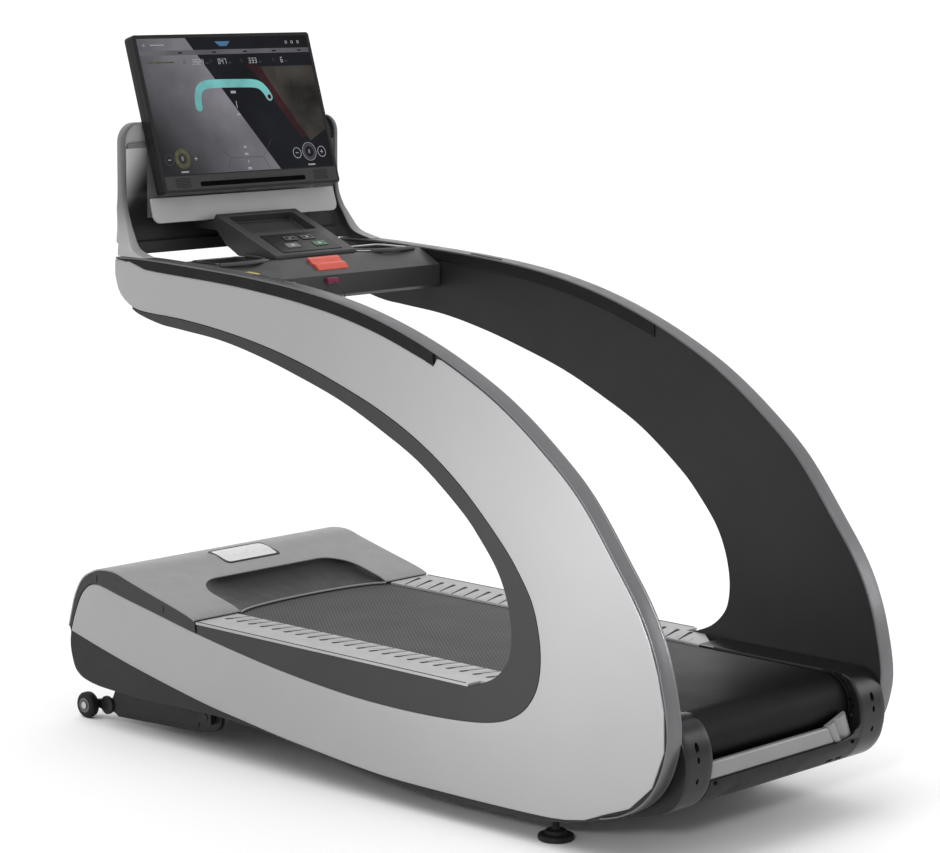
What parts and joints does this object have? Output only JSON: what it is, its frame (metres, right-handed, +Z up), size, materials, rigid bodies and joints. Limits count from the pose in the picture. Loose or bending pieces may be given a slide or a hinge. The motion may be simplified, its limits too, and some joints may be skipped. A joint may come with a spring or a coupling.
{
  "type": "treadmill",
  "caption": "Motorised treadmill with C-shaped side frames, flat running belt, motor hood, tilted touchscreen on a rear-swept mast and a lifting front axle with wheels.",
  "frame": {"origin": "centre of the overall footprint at floor level", "axes": "+Y towards the console and motor hood, +Z up, +X across the belt to the runner's right"},
  "size_m": [0.86, 2.116, 1.832],
  "materials": {
    "frame_steel": "satin black powder coat",
    "charcoal_shell": "fine-grain charcoal moulding",
    "ridge_grey": "satin grey metallic",
    "silver_skin": "satin silver paint",
    "grip_rubber": "matt black",
    "chrome": "polished",
    "apron_grey": "satin light grey",
    "housing_black": "semi-gloss black",
    "screen_glass": "gloss black display glass",
    "shelf_grey": "satin mid grey",
    "keypad_black": "gloss black",
    "key_green": "satin",
    "key_grey": "satin",
    "stop_red": "semi-gloss red",
    "key_magenta": "semi-gloss",
    "cord": "braided cord",
    "hood_grey": "satin mid grey paint",
    "badge_white": "plain plate in a dark rim",
    "deck_wood": "waxed laminate",
    "cushion_rubber": "matt",
    "belt_black": "fine diagonal ribs",
    "rail_silver": "satin silver with black anti-slip bars",
    "bar_grey": "satin light grey",
    "roller_steel": "turned",
    "motor_black": "black, finned",
    "steel": "zinc plated",
    "electronics_box": "matt",
    "actuator_grey": "satin",
    "wheel_black": "matt",
    "foot_black": "matt",
    "inlet_black": "matt",
    "rocker_red": "semi-gloss"
  },
  "bodies": {
    "chassis": {"base_frame": "frame_steel", "deck_frame": "frame_steel", "roller_brackets": "frame_steel", "arm_core_left": "charcoal_shell", "arm_core_right": "charcoal_shell", "ridge_strip_left": "ridge_grey", "ridge_strip_right": "ridge_grey", "side_panel_left": "silver_skin", "side_panel_right": "silver_skin", "opening_trim_left": "charcoal_shell", "opening_trim_right": "charcoal_shell", "grip_left": "grip_rubber", "grip_right": "grip_rubber", "pulse_plates": "chrome", "wing_shell": "silver_skin", "cowl_panel": "charcoal_shell", "apron_bar": "apron_grey", "screen_housing": "housing_black", "screen_glass": "screen_glass", "screen_bracket": "frame_steel", "console_deck": "shelf_grey", "console_unit": "charcoal_shell", "tray_rims": "chrome", "keypad_plate": "keypad_black", "hood_cover": "hood_grey", "hood_recess": "charcoal_shell", "hood_badge": "badge_white", "hood_strips": "charcoal_shell", "front_shell": "charcoal_shell", "belly_pan": "charcoal_shell", "deck_board": "deck_wood", "deck_cushions": "cushion_rubber", "running_belt": "belt_black", "rail_left": "rail_silver", "rail_right": "rail_silver", "rear_cover": "charcoal_shell", "rear_crossbar": "bar_grey", "drive_motor": "motor_black", "drive_belt": "belt_black", "controller_box": "electronics_box", "lift_actuator": "actuator_grey", "power_inlet": "inlet_black"},
    "start_key": {"key_start": "key_green"},
    "stop_key": {"key_stop": "key_grey"},
    "faster_key": {"key_faster": "key_grey"},
    "slower_key": {"key_slower": "key_grey"},
    "emergency_stop": {"estop_button": "stop_red"},
    "safety_pull": {"safety_key": "key_magenta", "safety_lanyard": "cord", "lanyard_clip": "inlet_black"},
    "front_roller_body": {"front_roller": "roller_steel"},
    "rear_roller_body": {"rear_roller": "roller_steel"},
    "motor_rotor_body": {"motor_rotor": "steel"},
    "lift": {"lift_frame": "frame_steel"},
    "left_wheel": {"lift_wheel_left": "wheel_black"},
    "right_wheel": {"lift_wheel_right": "wheel_black"},
    "lift_screw_body": {"lift_screw": "steel"},
    "left_foot": {"rear_foot_left": "foot_black"},
    "right_foot": {"rear_foot_right": "foot_black"},
    "power_rocker": {"power_switch": "rocker_red"}
  },
  "joints": [
    {"name": "lift_hinge", "type": "hinge", "parent": "chassis", "child": "lift", "pos_m": [0, 0.56, 0.08], "axis": [-1, 0, 0], "range_deg": [0, 12]},
    {"name": "lift_screw_slide", "type": "slide", "parent": "chassis", "child": "lift_screw_body", "axis": [0, 0, -1], "range_m": [0, 0.062]},
    {"name": "left_wheel_spin", "type": "hinge", "parent": "lift", "child": "left_wheel", "pos_m": [-0.366, 1.023, 0.035], "axis": [1, 0, 0], "continuous": true},
    {"name": "right_wheel_spin", "type": "hinge", "parent": "lift", "child": "right_wheel", "pos_m": [0.366, 1.023, 0.035], "axis": [1, 0, 0], "continuous": true},
    {"name": "front_roller_spin", "type": "hinge", "parent": "chassis", "child": "front_roller_body", "pos_m": [0, 0.64, 0.277], "axis": [1, 0, 0], "continuous": true},
    {"name": "rear_roller_spin", "type": "hinge", "parent": "chassis", "child": "rear_roller_body", "pos_m": [0, -0.953, 0.277], "axis": [1, 0, 0], "continuous": true},
    {"name": "motor_spin", "type": "hinge", "parent": "chassis", "child": "motor_rotor_body", "pos_m": [0, 0.84, 0.262], "axis": [1, 0, 0], "continuous": true},
    {"name": "start_key_press", "type": "slide", "parent": "chassis", "child": "start_key", "axis": [0, 0.3778, -0.9259], "range_m": [0, 0.001], "stiffness_N_per_m": 800, "springref_m": -0.001},
    {"name": "stop_key_press", "type": "slide", "parent": "chassis", "child": "stop_key", "axis": [0, 0.3778, -0.9259], "range_m": [0, 0.001], "stiffness_N_per_m": 800, "springref_m": -0.001},
    {"name": "faster_key_press", "type": "slide", "parent": "chassis", "child": "faster_key", "axis": [0, 0.3778, -0.9259], "range_m": [0, 0.001], "stiffness_N_per_m": 800, "springref_m": -0.001},
    {"name": "slower_key_press", "type": "slide", "parent": "chassis", "child": "slower_key", "axis": [0, 0.3778, -0.9259], "range_m": [0, 0.001], "stiffness_N_per_m": 800, "springref_m": -0.001},
    {"name": "emergency_stop_press", "type": "slide", "parent": "chassis", "child": "emergency_stop", "axis": [0, 0.4695, -0.8829], "range_m": [0, 0.005], "stiffness_N_per_m": 1500, "springref_m": -0.002},
    {"name": "safety_key_pull", "type": "slide", "parent": "chassis", "child": "safety_pull", "axis": [0, -1, 0], "range_m": [0, 0.025]},
    {"name": "left_foot_turn", "type": "hinge", "parent": "chassis", "child": "left_foot", "pos_m": [-0.35, -0.648, 0], "axis": [0, 0, 1], "continuous": true},
    {"name": "right_foot_turn", "type": "hinge", "parent": "chassis", "child": "right_foot", "pos_m": [0.35, -0.648, 0], "axis": [0, 0, 1], "continuous": true},
    {"name": "power_rocker_tilt", "type": "hinge", "parent": "chassis", "child": "power_rocker", "pos_m": [-0.249, 1.007, 0.19], "axis": [-1, 0, 0], "range_deg": [0, 12]}
  ],
  "couplings": [
    {"joint": "lift_screw_slide", "follows": "lift_hinge", "m_per_rad": 0.29},
    {"joint": "rear_roller_spin", "follows": "front_roller_spin", "ratio": 1},
    {"joint": "motor_spin", "follows": "front_roller_spin", "ratio": 1.9333}
  ]
}
